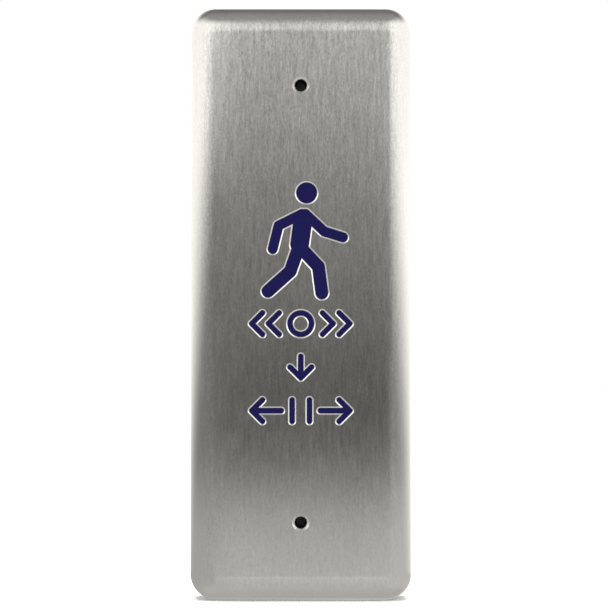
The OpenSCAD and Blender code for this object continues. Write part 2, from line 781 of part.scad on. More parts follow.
module terminal_common() color(brass) upright() {
  groove_r = blade_curl_r + run_gap;
  seat_low = blade_z - blade_t / 2 - 1.6;
  seat_y = blade_pivot_y - 1;
  difference() {
    union() {
      tab(common_y, seat_low + 0.8);
      translate([-tab_w / 2, seat_y, seat_low])
        cube([tab_w, common_y + tab_t / 2 - seat_y, 0.8]);
      translate([-tab_w / 2, seat_y, seat_low]) cube([tab_w, 2, blade_z - seat_low - 0.4]);
    }
    translate([-tab_w, blade_pivot_y, blade_z]) rotate([0, 90, 0]) cylinder(r = groove_r, h = 2 * tab_w);
  }
}

module terminal_open() color(brass) upright() {
  top = open_face - contact_t;
  tab(open_y, top);
  translate([-tab_w / 2, open_y - tab_t / 2, top - arm_t])
    cube([tab_w, contact_y + contact_d / 2 - open_y + tab_t / 2, arm_t]);
  contact(top - arm_t / 2, contact_t + arm_t / 2);
}

module terminal_closed() color(brass) upright() {
  start = contact_y - contact_d / 2;
  tab(closed_y, closed_arm_top);
  translate([-tab_w / 2, start, closed_arm_top - arm_t])
    cube([tab_w, closed_y + tab_t / 2 - start, arm_t]);
  contact(closed_face, contact_t + arm_t / 2);
}

module switch_screws() color(steel) upright() {
  grip = cheek_out + m3_washer_t;
  length = 2 * grip + m3_nut_h + 0.5;
  at_fixings() difference() {
    union() {
      translate([0, 0, grip]) cylinder(d = m3_head_d, h = m3_head_h);
      translate([0, 0, grip - length]) cylinder(d = switch_screw_d, h = length);
    }
    translate([-m3_head_d, -0.4, grip + m3_head_h - 0.9]) cube([2 * m3_head_d, 0.8, 0.9 + over]);
  }
}

module switch_washers() color(zinc) upright() {
  at_fixings() for (z = [cheek_out, -cheek_out - m3_washer_t])
    translate([0, 0, z]) ring(m3_washer_d, switch_screw_d + 2 * seat_gap, m3_washer_t);
}

module switch_nuts() color(steel) upright() {
  at_fixings() translate([0, 0, -cheek_out - m3_washer_t - m3_nut_h]) difference() {
    hexagon(m3_nut_af, m3_nut_h);
    translate([0, 0, -over]) cylinder(d = switch_screw_d + 2 * seat_gap, h = m3_nut_h + 2 * over);
  }
}

face_plate();
figure_enamel();
sign_enamel();
weld_studs();
carrier();
carrier_nuts();
carrier_washers();
guide_bushes();
back_plate();
wall_gasket();
captive_screws();
silencing_rings();
return_springs();
bump_stops();
pusher();
pusher_bush();
pusher_clip();
switch_bracket();
bracket_rivets();
switch_case();
switch_cover();
switch_plunger();
switch_lever();
lever_pin();
contact_blade();
blade_spring();
terminal_common();
terminal_open();
terminal_closed();
switch_screws();
switch_nuts();
switch_washers();
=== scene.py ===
# %% [markdown]
# # A narrow push plate for an automatic door
# The real object is a brushed steel plate with a pictogram and a few arrow signs cut
# into it and filled with dark blue enamel. Behind the plate sit a sprung carrier, a back
# plate and a small snap switch. The imported CAD model gives every size and every place,
# so it is loaded first and its box is kept.

# %% Load the fixed frame
import json
import math

import bmesh
import bpy
from mathutils import Matrix, Vector

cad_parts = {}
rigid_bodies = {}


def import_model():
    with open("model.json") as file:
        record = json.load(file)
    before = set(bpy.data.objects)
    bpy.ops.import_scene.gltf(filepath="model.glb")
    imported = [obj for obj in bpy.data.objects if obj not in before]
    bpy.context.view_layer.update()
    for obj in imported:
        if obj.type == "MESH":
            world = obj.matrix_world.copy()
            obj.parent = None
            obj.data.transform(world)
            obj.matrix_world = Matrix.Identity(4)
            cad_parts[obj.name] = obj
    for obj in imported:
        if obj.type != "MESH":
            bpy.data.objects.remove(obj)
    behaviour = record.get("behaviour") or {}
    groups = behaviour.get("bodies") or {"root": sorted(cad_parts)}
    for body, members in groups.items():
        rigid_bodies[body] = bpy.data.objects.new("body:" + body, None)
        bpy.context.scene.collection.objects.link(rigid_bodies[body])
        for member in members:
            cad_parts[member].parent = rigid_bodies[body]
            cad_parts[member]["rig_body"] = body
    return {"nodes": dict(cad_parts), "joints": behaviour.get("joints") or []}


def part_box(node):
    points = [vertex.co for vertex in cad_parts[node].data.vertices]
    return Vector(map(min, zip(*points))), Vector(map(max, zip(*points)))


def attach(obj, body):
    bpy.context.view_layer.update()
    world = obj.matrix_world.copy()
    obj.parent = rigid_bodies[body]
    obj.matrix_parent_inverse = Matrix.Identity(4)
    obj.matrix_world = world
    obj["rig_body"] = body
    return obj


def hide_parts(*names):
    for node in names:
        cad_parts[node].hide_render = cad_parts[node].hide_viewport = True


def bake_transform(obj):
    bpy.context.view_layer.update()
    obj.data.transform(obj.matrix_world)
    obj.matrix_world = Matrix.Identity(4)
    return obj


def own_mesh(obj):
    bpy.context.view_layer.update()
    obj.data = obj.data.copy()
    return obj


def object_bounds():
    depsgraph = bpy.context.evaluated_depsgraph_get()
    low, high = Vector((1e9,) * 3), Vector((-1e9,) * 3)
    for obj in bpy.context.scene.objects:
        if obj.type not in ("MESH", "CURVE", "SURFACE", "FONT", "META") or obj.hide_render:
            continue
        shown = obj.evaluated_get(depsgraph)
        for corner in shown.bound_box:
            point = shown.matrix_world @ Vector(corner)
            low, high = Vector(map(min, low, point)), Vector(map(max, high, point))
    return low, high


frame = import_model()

cad_low, cad_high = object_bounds()
MM = 0.001
print("CAD box in mm:", [round((b - a) / MM, 2) for a, b in zip(cad_low, cad_high)])

# %% [markdown]
# ## Camera
# A long lens far away keeps the plate's edges parallel, as in a catalogue picture. The
# lens follows from the distance and the width of the frame at the plate's front, so
# those two numbers are chosen, and with them a small step to the side.

# %% Place the camera square in front of the plate
face_low, face_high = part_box("face_plate")
FRONT = face_low.y
CAMERA_DISTANCE = 600 * MM
VIEW_WIDTH = 117.4 * MM
CAMERA_SIDE = 0.62 * MM
NEAREST_SEEN = 0.01
SENSOR_WIDTH = 36.0

camera_data = bpy.data.cameras.new("catalogue_camera")
camera_data.sensor_width = SENSOR_WIDTH
camera_data.lens = CAMERA_DISTANCE * SENSOR_WIDTH / VIEW_WIDTH
camera_data.clip_start = NEAREST_SEEN
camera = bpy.data.objects.new("catalogue_camera", camera_data)
bpy.context.scene.collection.objects.link(camera)
camera.location = (CAMERA_SIDE, FRONT - CAMERA_DISTANCE, 0)
camera.rotation_euler = (math.radians(90), 0, 0)
bpy.context.scene.camera = camera
bpy.context.scene.view_settings.view_transform = "Standard"
print("lens in mm:", round(camera_data.lens, 1))

# %% [markdown]
# ## A few helpers for node materials
# Every finish is a small graph of nodes round one Principled shader. Four helpers keep
# the graphs readable: a node with its values and links, a maths node, a smooth step
# between two numbers, and a ramp of greys.


# %% Node helpers
def add_node(tree, kind, links=None, **values):
    """A node of that kind, with attributes set by name and sockets linked by name."""
    node = tree.nodes.new(kind)
    for name, value in values.items():
        if name in node.inputs:
            node.inputs[name].default_value = value
        else:
            setattr(node, name, value)
    for name, source in (links or {}).items():
        tree.links.new(source, node.inputs[name])
    return node


def calculate(tree, operation, *terms):
    """The output of a maths node on numbers or on other nodes' outputs."""
    node = tree.nodes.new("ShaderNodeMath")
    node.operation = operation
    for socket, term in zip(node.inputs, terms):
        if isinstance(term, (int, float)):
            socket.default_value = term
        else:
            tree.links.new(term, socket)
    return node.outputs[0]


def soft_step(tree, value, low, high):
    """A number that rises smoothly from 0 to 1 while the value goes from low to high."""
    node = add_node(tree, "ShaderNodeMapRange", interpolation_type="SMOOTHSTEP")
    tree.links.new(value, node.inputs["Value"])
    node.inputs["From Min"].default_value = low
    node.inputs["From Max"].default_value = high
    return node.outputs[0]


def ramp(tree, value, stops):
    """A colour ramp with (place, brightness) stops."""
    node = tree.nodes.new("ShaderNodeValToRGB")
    tree.links.new(value, node.inputs[0])
    elements = node.color_ramp.elements
    while len(elements) < len(stops):
        elements.new(1.0)
    for element, (place, bright) in zip(elements, stops):
        element.position = place
        element.color = (bright, bright, bright, 1)
    return node.outputs[0]


# %% [markdown]
# ## The room that the steel reflects
# Brushed steel has little colour of its own. What it shows is the room: a dark middle
# where the photographer stands, a pale table below, soft boxes to the left and right, a
# grey ceiling and a plain wall behind. Such a room could be built from cards, but a flat
# plate and a long lens see only a few degrees of it, so a sky of brightness by direction
# is easier to tune and has no noise. The camera itself sees plain white.

# %% Light the room by direction
# Angles are in degrees. A profile is (height, brightness): here past the camera
FRONT_PROFILE = [(-90, 0.62), (-30, 0.72), (-5.4, 0.80), (-4.8, 0.62), (-3.75, 0.70),
                 (-3.5, 0.40), (-3.2, 0.13), (-2.4, 0.13), (-1.6, 0.12), (-0.6, 0.18),
                 (1.0, 0.26), (2.0, 0.29), (3.8, 0.44), (5.2, 0.56), (14, 0.86), (28, 0.78),
                 (50, 0.48), (70, 0.42), (90, 0.38)]
# and here to the left and right, below the soft boxes
SIDE_PROFILE = [(-90, 0.62), (-4.2, 0.56), (-3.5, 0.46), (-2.8, 0.25), (0.0, 0.26),
                (90, 0.36)]
SOFT_BOX = 1.55
# Straight ahead a box's lower edge has this height, and it drops with the turn by the
# slope; the width is how softly it ends, and below is the share of the room under it
LEFT_BOX = {"edge_height": 4.7, "slope": 0.053, "width": 3.2, "below": 1.0}
RIGHT_BOX = {"edge_height": 4.4, "slope": 0.062, "width": 3.9, "below": 1.3}
# A box comes in over this turn, and both fade out high above and far below
LEFT_BOX_STARTS = (1, 15)
RIGHT_BOX_STARTS = (4, 30)
BOXES_END = (60, 30)
# The part of the room behind the plate, from this share backwards and this steepness
REAR_WALL = 0.25
REAR_FLOOR = 0.6
REAR_STARTS = (-0.1, 0.45)
REAR_STEEP = (24, 48)
WALL_OVER_FLOOR = (-20, 20)
# The light's green and blue, against its red
WARM_GREEN = 0.99
WARM_BLUE = 0.955

world = bpy.data.worlds.new("studio")
bpy.context.scene.world = world
world.use_nodes = True
tree = world.node_tree
tree.nodes.clear()
direction = add_node(tree, "ShaderNodeTexCoord").outputs["Generated"]
parts = add_node(tree, "ShaderNodeSeparateXYZ", {"Vector": direction}).outputs
height = calculate(tree, "MULTIPLY", calculate(tree, "ARCSINE", parts["Z"]), 180 / math.pi)
to_left = calculate(tree, "MULTIPLY", parts["X"], -1)
ahead = calculate(tree, "MULTIPLY", parts["Y"], -1)
turn = calculate(tree, "MULTIPLY", calculate(tree, "ARCTAN2", to_left, ahead), 180 / math.pi)
turn_right = calculate(tree, "MULTIPLY", turn, -1)
place = calculate(tree, "MULTIPLY_ADD", height, 1 / 180, 0.5)


def profile(stops):
    return ramp(tree, place, [((degrees + 90) / 180, bright) for degrees, bright in stops])


def side_light(angle, edge_height, slope, width, below):
    """Brightness past a soft box whose lower edge drops as the angle grows."""
    edge = calculate(tree, "MULTIPLY_ADD", angle, -slope, edge_height)
    above = calculate(tree, "SUBTRACT", height, edge)
    lit = soft_step(tree, above, -width, width)
    gain = calculate(tree, "MULTIPLY", lit, SOFT_BOX)
    dim = calculate(tree, "MULTIPLY_ADD", lit, -below, below)
    rest = calculate(tree, "MULTIPLY", profile(SIDE_PROFILE), dim)
    return calculate(tree, "ADD", gain, rest)


def blend_light(first, second, factor):
    """The first brightness where the factor is 0, the second where it is 1."""
    keep = calculate(tree, "MULTIPLY", first, calculate(tree, "SUBTRACT", 1, factor))
    return calculate(tree, "MULTIPLY_ADD", second, factor, keep)


light = profile(FRONT_PROFILE)
steepness = calculate(tree, "ABSOLUTE", height)
boxes_end = soft_step(tree, steepness, *BOXES_END)
for angle, box, starts in ((turn, LEFT_BOX, LEFT_BOX_STARTS),
                           (turn_right, RIGHT_BOX, RIGHT_BOX_STARTS)):
    share = calculate(tree, "MULTIPLY", soft_step(tree, angle, *starts), boxes_end)
    light = blend_light(light, side_light(angle, **box), share)
behind = calculate(tree, "MULTIPLY", soft_step(tree, parts["Y"], *REAR_STARTS),
                   soft_step(tree, steepness, *REAR_STEEP))
rear = blend_light(REAR_FLOOR, REAR_WALL, soft_step(tree, height, *WALL_OVER_FLOOR))
light = blend_light(light, rear, behind)
warm = add_node(tree, "ShaderNodeCombineColor",
                {"Red": light, "Green": calculate(tree, "MULTIPLY", light, WARM_GREEN),
                 "Blue": calculate(tree, "MULTIPLY", light, WARM_BLUE)}).outputs[0]
room = add_node(tree, "ShaderNodeBackground", {"Color": warm})
plain = add_node(tree, "ShaderNodeBackground", Color=(1, 1, 1, 1))
seen = add_node(tree, "ShaderNodeLightPath").outputs["Is Camera Ray"]
mixed = add_node(tree, "ShaderNodeMixShader")
tree.links.new(seen, mixed.inputs[0])
tree.links.new(room.outputs[0], mixed.inputs[1])
tree.links.new(plain.outputs[0], mixed.inputs[2])
add_node(tree, "ShaderNodeOutputWorld", {"Surface": mixed.outputs[0]})
print("room made of", len(tree.nodes), "nodes")

# %% [markdown]
# ## Floor
# A white table under the plate, and one large lamp overhead and a little behind, which
# gives the plate a soft shadow on it. Both are left out of mirror reflections, because
# the room above already has its own pale table at the right height for the lower end.

# %% Lay the floor and hang the lamp
FLOOR_SIZE = 3.0
TABLE_WHITE = 0.9
TABLE_ROUGHNESS = 0.9
LAMP_SIZE = 1.2
LAMP_POWER = 40
LAMP_PLACE = (0, 0.2, 1.4)

table = bpy.data.materials.new("white_table")
table.use_nodes = True
shader = table.node_tree.nodes["Principled BSDF"]
shader.inputs["Base Color"].default_value = (TABLE_WHITE, TABLE_WHITE, TABLE_WHITE, 1)
shader.inputs["Roughness"].default_value = TABLE_ROUGHNESS

bm = bmesh.new()
bmesh.ops.create_grid(bm, x_segments=1, y_segments=1, size=FLOOR_SIZE / 2,
                      matrix=Matrix.Translation((0, 0, cad_low.z)))
floor_mesh = bpy.data.meshes.new("white_table")
bm.to_mesh(floor_mesh)
bm.free()
floor = bpy.data.objects.new("white_table", floor_mesh)
floor.data.materials.append(table)
floor.visible_glossy = False
bpy.context.scene.collection.objects.link(floor)

lamp_data = bpy.data.lights.new("overhead_box", "AREA")
lamp_data.shape = "SQUARE"
lamp_data.size = LAMP_SIZE
lamp_data.energy = LAMP_POWER
lamp = bpy.data.objects.new("overhead_box", lamp_data)
lamp.location = LAMP_PLACE
lamp.visible_glossy = False
bpy.context.scene.collection.objects.link(lamp)
print("floor at", round(cad_low.z / MM, 2), "mm")

# %% [markdown]
# ## Finishes
# Each slot of the record gets one material. The steel of the face is the important one:
# its grain runs up the plate, so a highlight spreads sideways and stays sharp up and
# down. That is an anisotropic shader whose tangent lies level, plus streaks that vary
# the brightness a little, as the strokes of an abrasive belt do. The streaks show more
# towards the top of the plate and less on its bends.


# %% Finish helpers
NOISE_RANGE = (0.3, 0.7)


def new_finish(name, color, roughness, metallic=0.0):
    material = bpy.data.materials.new(name)
    material.use_nodes = True
    shader = material.node_tree.nodes["Principled BSDF"]
    shader.inputs["Base Color"].default_value = (*color, 1)
    shader.inputs["Roughness"].default_value = roughness
    shader.inputs["Metallic"].default_value = metallic
    return material, material.node_tree, shader


def noise(tree, scale, detail=3.0, rough=0.5):
    """Noise on object coordinates; scale is features per metre along x, y and z."""
    coords = add_node(tree, "ShaderNodeTexCoord").outputs["Object"]
    mapping = add_node(tree, "ShaderNodeMapping", {"Vector": coords}, Scale=scale)
    node = add_node(tree, "ShaderNodeTexNoise", {"Vector": mapping.outputs[0]},
                    Scale=1.0, Detail=detail, Roughness=rough)
    return node.outputs["Fac"]


def stretch(tree, value, old_range, new_range):
    """A number moved from one range to another, which it never leaves."""
    node = add_node(tree, "ShaderNodeMapRange", {"Value": value})
    for name, number in zip(("From Min", "From Max", "To Min", "To Max"),
                            (*old_range, *new_range)):
        node.inputs[name].default_value = number
    return node.outputs[0]


def spread(tree, value, low, high):
    """Stretches a noise value, which stays near its middle, from low to high."""
    return stretch(tree, value, NOISE_RANGE, (low, high))


def tint(tree, shader, color, factor):
    """Multiplies a colour by a number and feeds it to the shader."""
    node = add_node(tree, "ShaderNodeVectorMath", operation="SCALE")
    node.inputs[0].default_value = color
    tree.links.new(factor, node.inputs["Scale"])
    tree.links.new(node.outputs[0], shader.inputs["Base Color"])


def bump(tree, shader, height, strength, distance):
    node = add_node(tree, "ShaderNodeBump", {"Height": height},
                    Strength=strength, Distance=distance)
    tree.links.new(node.outputs[0], shader.inputs["Normal"])


# %% Brushed steel of the face
STEEL = (0.62, 0.612, 0.595)
STEEL_ROUGHNESS = (0.12, 0.15)
STREAK_DEPTH = 0.17
BAND_DEPTH = 0.09
SPECK_DEPTH = 0.12
CLOUD_RANGE = (0.95, 1.05)
# How much of the streaks shows at the bottom and at the top of the plate
BITE = (0.45, 1.25)
BITE_ON_BENDS = 0.3
# Facing the front by this much, as a cosine, a spot goes from bend to flat
BEND_TO_FLAT = (0.8, 0.995)
# Painted highlight: the lips and key-hole chamfers get this paler colour in place of the light
# their rims catch
RIM_HIGHLIGHT_COLOR = (0.86, 0.855, 0.84)


def level_tangent(tree, normal):
    """The level direction in the surface; the nudge gives level surfaces one too."""
    level_way = add_node(tree, "ShaderNodeVectorMath", operation="CROSS_PRODUCT")
    tree.links.new(normal, level_way.inputs[0])
    level_way.inputs[1].default_value = (0, 0, 1)
    nudged = add_node(tree, "ShaderNodeVectorMath", operation="ADD")
    tree.links.new(level_way.outputs[0], nudged.inputs[0])
    nudged.inputs[1].default_value = (-0.02, 0, 0)
    tangent = add_node(tree, "ShaderNodeVectorMath", operation="NORMALIZE")
    tree.links.new(nudged.outputs[0], tangent.inputs[0])
    return tangent.outputs[0]


def grain_strength(tree, normal):
    """How much the streaks show, by height on the plate and by how flat it is."""
    coords = add_node(tree, "ShaderNodeTexCoord").outputs["Object"]
    along = add_node(tree, "ShaderNodeSeparateXYZ", {"Vector": coords}).outputs["Z"]
    bite = stretch(tree, along, (face_low.z, face_high.z), BITE)
    facing = add_node(tree, "ShaderNodeSeparateXYZ", {"Vector": normal}).outputs["Y"]
    flat = soft_step(tree, calculate(tree, "ABSOLUTE", facing), *BEND_TO_FLAT)
    shown = calculate(tree, "MULTIPLY_ADD", flat, 1 - BITE_ON_BENDS, BITE_ON_BENDS)
    return calculate(tree, "MULTIPLY", bite, shown)


def brushed_face():
    material, tree, shader = new_finish("brushed_face", STEEL, 0.2, 1.0)
    fine = noise(tree, (4600, 4600, 900), detail=4.0, rough=0.7)
    broad = noise(tree, (1700, 1700, 210), detail=3.0)
    cloud = noise(tree, (60, 60, 25), detail=2.0)
    speck = noise(tree, (3200, 3200, 2300), detail=3.0, rough=0.6)
    streaks = calculate(tree, "ADD", spread(tree, fine, -STREAK_DEPTH, STREAK_DEPTH),
                        spread(tree, broad, -BAND_DEPTH, BAND_DEPTH))
    streaks = calculate(tree, "ADD", streaks,
                        spread(tree, speck, -SPECK_DEPTH, SPECK_DEPTH))
    normal = add_node(tree, "ShaderNodeNewGeometry").outputs["Normal"]
    level = calculate(tree, "MULTIPLY_ADD", streaks, grain_strength(tree, normal),
                      spread(tree, cloud, *CLOUD_RANGE))
    tint(tree, shader, STEEL, level)
    tree.links.new(spread(tree, broad, *STEEL_ROUGHNESS), shader.inputs["Roughness"])
    shader.inputs["Anisotropic"].default_value = 1.0
    tree.links.new(level_tangent(tree, normal), shader.inputs["Tangent"])
    return material


print("grain shows on the flat from", BITE[0], "at the bottom to", BITE[1], "at the top")


# %% Other metals, moulded parts and enamel
def painted_highlight_rim():
    """Steel of the milled lips and chamfers, painted paler than the brushed front as a
    highlight along the rims.
    """
    material, tree, shader = new_finish("painted_highlight_rim", RIM_HIGHLIGHT_COLOR, 0.3, 1.0)
    grain = noise(tree, (9000, 9000, 9000), detail=2.0)
    tint(tree, shader, RIM_HIGHLIGHT_COLOR, spread(tree, grain, 0.9, 1.1))
    return material


def metal(name, color, roughness, grain, depth=0.02, variation=0.12):
    """A plain metal whose colour and roughness wander a little, with fine tool marks."""
    material, tree, shader = new_finish(name, color, roughness, 1.0)
    wander = noise(tree, (700, 700, 700), detail=4.0)
    tint(tree, shader, color, spread(tree, wander, 1 - variation, 1 + variation))
    marks = noise(tree, grain, detail=2.0)
    tree.links.new(spread(tree, marks, roughness * 0.8, roughness * 1.25),
                   shader.inputs["Roughness"])
    bump(tree, shader, marks, 0.25, depth * MM)
    return material


def moulded(name, color, roughness, grain=5000, depth=0.03, variation=0.1):
    """A moulded surface: an even colour, slightly mottled, with a fine cast grain."""
    material, tree, shader = new_finish(name, color, roughness)
    mottle = noise(tree, (300, 300, 300), detail=3.0)
    tint(tree, shader, color, spread(tree, mottle, 1 - variation, 1 + variation))
    texture = noise(tree, (grain, grain, grain), detail=2.0)
    tree.links.new(spread(tree, texture, roughness * 0.9, roughness * 1.12),
                   shader.inputs["Roughness"])
    bump(tree, shader, texture, 0.3, depth * MM)
    return material


NAVY = (0.0058, 0.0045, 0.052)
ENAMEL_SHINE = 0.07


def enamel():
    """Dark blue paint, matt enough to hide the bright room in front of it."""
    material, tree, shader = new_finish("navy_enamel", NAVY, 0.5)
    shader.inputs["Specular IOR Level"].default_value = ENAMEL_SHINE
    speck = noise(tree, (2600, 2600, 2600), detail=5.0, rough=0.7)
    tint(tree, shader, NAVY, spread(tree, speck, 0.8, 1.25))
    waves = noise(tree, (450, 450, 450), detail=1.0)
    bump(tree, shader, waves, 0.25, 0.08 * MM)
    return material


# %% One finish for each slot
FINISHES = {
    "brushed_stainless": brushed_face(),
    "navy_enamel": enamel(),
    "plain_steel": metal("plain_steel", (0.55, 0.55, 0.55), 0.3, (2500, 2500, 9000)),
    "zinc_plated_steel": metal("zinc_plated_steel", (0.66, 0.67, 0.7), 0.34, (900, 900, 900),
                               depth=0.03, variation=0.16),
    "black_oxide_steel": metal("black_oxide_steel", (0.05, 0.05, 0.055), 0.42,
                               (3000, 3000, 3000)),
    "spring_steel": metal("spring_steel", (0.45, 0.45, 0.46), 0.26, (6000, 6000, 6000)),
    "natural_acetal": moulded("natural_acetal", (0.8, 0.78, 0.72), 0.38),
    "black_rubber": moulded("black_rubber", (0.022, 0.022, 0.022), 0.72, grain=3500),
    "gasket_foam": moulded("gasket_foam", (0.045, 0.045, 0.05), 0.9, grain=2200, depth=0.12,
                           variation=0.25),
    "brass": metal("brass", (0.76, 0.55, 0.22), 0.28, (2500, 2500, 9000)),
    "brown_phenolic": moulded("brown_phenolic", (0.12, 0.05, 0.03), 0.36, grain=2600,
                              variation=0.25),
    "black_nylon": moulded("black_nylon", (0.03, 0.03, 0.033), 0.42, grain=3200),
    "red_plastic": moulded("red_plastic", (0.5, 0.02, 0.02), 0.3),
    "copper_alloy": metal("copper_alloy", (0.78, 0.43, 0.27), 0.26, (9000, 2500, 2500)),
    "tinned_brass": metal("tinned_brass", (0.76, 0.73, 0.64), 0.32, (2500, 9000, 2500)),
}
print(len(FINISHES), "finishes")

# %% [markdown]
# ## Shaping helpers
# A piece starts as a bmesh and becomes an object at the origin that rides on its body.
# Edges sharper than a limit stay crisp, and the rest is shaded smooth, apart from faces
# that lie square to the view: smooth shading would pull their light towards the bends.

# %% Turn a bmesh into a piece
SHARP_ANGLE = math.radians(28)
# The cosine past which a face counts as square to the view
SQUARE = 0.99999
# Two points nearer than this, in metres, are one
WELD = 1e-7
LATHE_STEPS = 48


def shade(mesh, sharp=SHARP_ANGLE):
    """Smooth shading, except on faces that lie square to the view and at sharp edges."""
    smooth = [abs(polygon.normal.y) < SQUARE for polygon in mesh.polygons]
    mesh.polygons.foreach_set("use_smooth", smooth)
    mesh.set_sharp_from_angle(angle=sharp)


def to_object(name, bm, material):
    mesh = bpy.data.meshes.new(name)
    bm.to_mesh(mesh)
    bm.free()
    mesh.materials.append(material)
    shade(mesh)
    thing = bpy.data.objects.new(name, mesh)
    bpy.context.scene.collection.objects.link(thing)
    return thing


def finish_piece(thing, body, slot, *nodes):
    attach(thing, body)
    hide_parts(*nodes)
    print(thing.name, "faces:", len(thing.data.polygons))


def apply_modifiers(thing):
    """Bakes a piece's modifiers into its mesh, so that later steps can use the result."""
    graph = bpy.context.evaluated_depsgraph_get()
    mesh = bpy.data.meshes.new_from_object(thing.evaluated_get(graph))
    thing.modifiers.clear()
    thing.data = mesh


def combine(thing, tool, operation, overlapping=False):
    """Cuts or intersects a piece with another one, which is thrown away."""
    modifier = thing.modifiers.new("cut", "BOOLEAN")
    modifier.operation = operation
    modifier.solver = "EXACT"
    modifier.use_self = overlapping
    modifier.object = tool
    apply_modifiers(thing)
    bpy.data.objects.remove(tool)


def lathe(bm, outline, at):
    """Spins an outline of (radius, y) points round a level axis through at."""
    chain = [bm.verts.new((at[0] + radius, y, at[1])) for radius, y in outline]
    edges = [bm.edges.new(pair) for pair in zip(chain, chain[1:])]
    bmesh.ops.spin(bm, geom=chain + edges, cent=(at[0], 0, at[1]), axis=(0, 1, 0),
                   angle=math.tau, steps=LATHE_STEPS, use_merge=True)


def close_up(bm):
    """Merges doubles at seams and poles, then points the faces outwards."""
    bmesh.ops.remove_doubles(bm, verts=bm.verts, dist=WELD)
    bmesh.ops.recalc_face_normals(bm, faces=bm.faces)


# %% [markdown]
# ## Outline of the graphics
# The pictogram is a walking figure made of strokes with round ends, and below it are
# three rows of generic signs: a ring between chevrons, a down arrow, and a pair of
# outward arrows. The real pieces are pockets milled into the steel. The same strokes
# serve twice here, once as the milling cutter and once as the enamel in the pocket, so
# the two always fit each other.

# %% Strokes of the walking figure and of the signs
FIGURE_H = 22.6
FIGURE_Z = 12.2
SIGN_H = 5.2
SIGN_W = 20.0
SIGN_STROKE = 1.05
# Places along a row, in stroke widths from the ring's edge or from the middle
CHEVRON_GAP = 1.5
BAR_X = 1.6
SHAFT_X = 3.6
FIRST_ROW_Z = -3.8
ROW_PITCH = 8.4
# Widths in hundredths of the figure's height, as its limbs below
HEAD_D = 18
BODY_WIDTH = 16
LEG_WIDTH = 11
ARM_WIDTH = 8.5

# Each limb is a width and a chain of points
FIGURE_LIMBS = [
    (HEAD_D, [(5, 41), (5, 41)]),
    (BODY_WIDTH, [(2, 19), (-1, -3)]),
    (LEG_WIDTH, [(0, -6), (15, -22), (18, -44.5)]),
    (LEG_WIDTH, [(-2, -6), (-9, -26), (-28, -43)]),
    (ARM_WIDTH, [(4, 23), (20, 8), (36, 3)]),
    (ARM_WIDTH, [(1, 23), (-19, 13), (-24, -7)]),
]


def figure_strokes():
    """(width, start, end) of every stroke of the figure, in mm."""
    unit = FIGURE_H / 100
    strokes = []
    for width, points in FIGURE_LIMBS:
        spots = [(x * unit, FIGURE_Z + z * unit) for x, z in points]
        strokes += [(width * unit, a, b) for a, b in zip(spots, spots[1:])]
    return strokes


def chevron(x, z, aim):
    """Two strokes that meet in a point which aims (1, 0) right, (-1, 0) left, (0, -1) down."""
    reach = (SIGN_H - SIGN_STROKE) / 2
    tails = [(x - aim[0] * reach + aim[1] * side * reach,
              z - aim[1] * reach + aim[0] * side * reach) for side in (1, -1)]
    return [(SIGN_STROKE, tail, (x, z)) for tail in tails]


def sign_strokes():
    """(width, start, end) of every stroke of the three rows of signs, in mm."""
    reach = (SIGN_H - SIGN_STROKE) / 2
    edge = (SIGN_W - SIGN_STROKE) / 2
    rows = [FIRST_ROW_Z - ROW_PITCH * row for row in range(3)]
    strokes = []
    for side in (1, -1):
        aim = (side, 0)
        for x in (SIGN_H / 2 + CHEVRON_GAP * SIGN_STROKE + reach, edge):
            strokes += chevron(side * x, rows[0], aim)
        bar = side * BAR_X * SIGN_STROKE
        strokes.append((SIGN_STROKE, (bar, rows[2] - reach), (bar, rows[2] + reach)))
        strokes += chevron(side * edge, rows[2], aim)
        strokes.append((SIGN_STROKE, (side * SHAFT_X * SIGN_STROKE, rows[2]),
                        (side * edge, rows[2])))
    strokes += chevron(0, rows[1] - reach, (0, -1))
    strokes.append((SIGN_STROKE, (0, rows[1] + reach), (0, rows[1] - reach)))
    return strokes


print(len(figure_strokes()), "strokes in the figure,", len(sign_strokes()), "in the signs")

# %% [markdown]
# ## Cutter and enamel from the same strokes
# One stroke is the hull of two round ends, a little wider at the front than at the
# pocket's floor, because the real milling cutter leaves a slanted wall that catches the
# light. A boolean with a larger block joins the strokes where they overlap.

# %% Build strokes as solids
POCKET_DEPTH = 0.4
RECESS = 0.1
ENAMEL_GAP = 0.02
LIP_WIDTH = 0.26
LIP_DEPTH = 0.14
WALL_SLANT = 0.02
CUT_OVER = 0.05
STAGGER = 0.0007
STAGGER_R = 0.003
STAGGERED_RADII = 4
ROUND_STEPS = 36
# Blocks larger than either graphic: one to clean up its cutter, one to cut as a slab
CLEAN_BLOCK = (SIGN_W * 2, SIGN_W, SIGN_W * 4)
SLAB_W = SIGN_W * 1.5
SLAB_H = SIGN_W * 3


def disc(bm, x, z, radius, depth):
    """A circle that lies in the face's plane, so far below it."""
    spot = Matrix.Translation((x * MM, FRONT + depth * MM, z * MM))
    turned = spot @ Matrix.Rotation(math.radians(90), 4, "X")
    made = bmesh.ops.create_circle(bm, segments=ROUND_STEPS, radius=radius * MM,
                                   matrix=turned)
    return made["verts"]


def stroke_solid(bm, start, end, wide, narrow, top, bottom):
    """The hull of two round ends, wide at the top and narrow at the bottom."""
    verts = []
    for x, z in (start, end):
        verts += disc(bm, x, z, wide, top) + disc(bm, x, z, narrow, bottom)
    hull = bmesh.ops.convex_hull(bm, input=verts)
    loose = set(v for v in hull["geom_interior"] + hull["geom_unused"]
                if isinstance(v, bmesh.types.BMVert))
    bmesh.ops.delete(bm, geom=list(loose), context="VERTS")


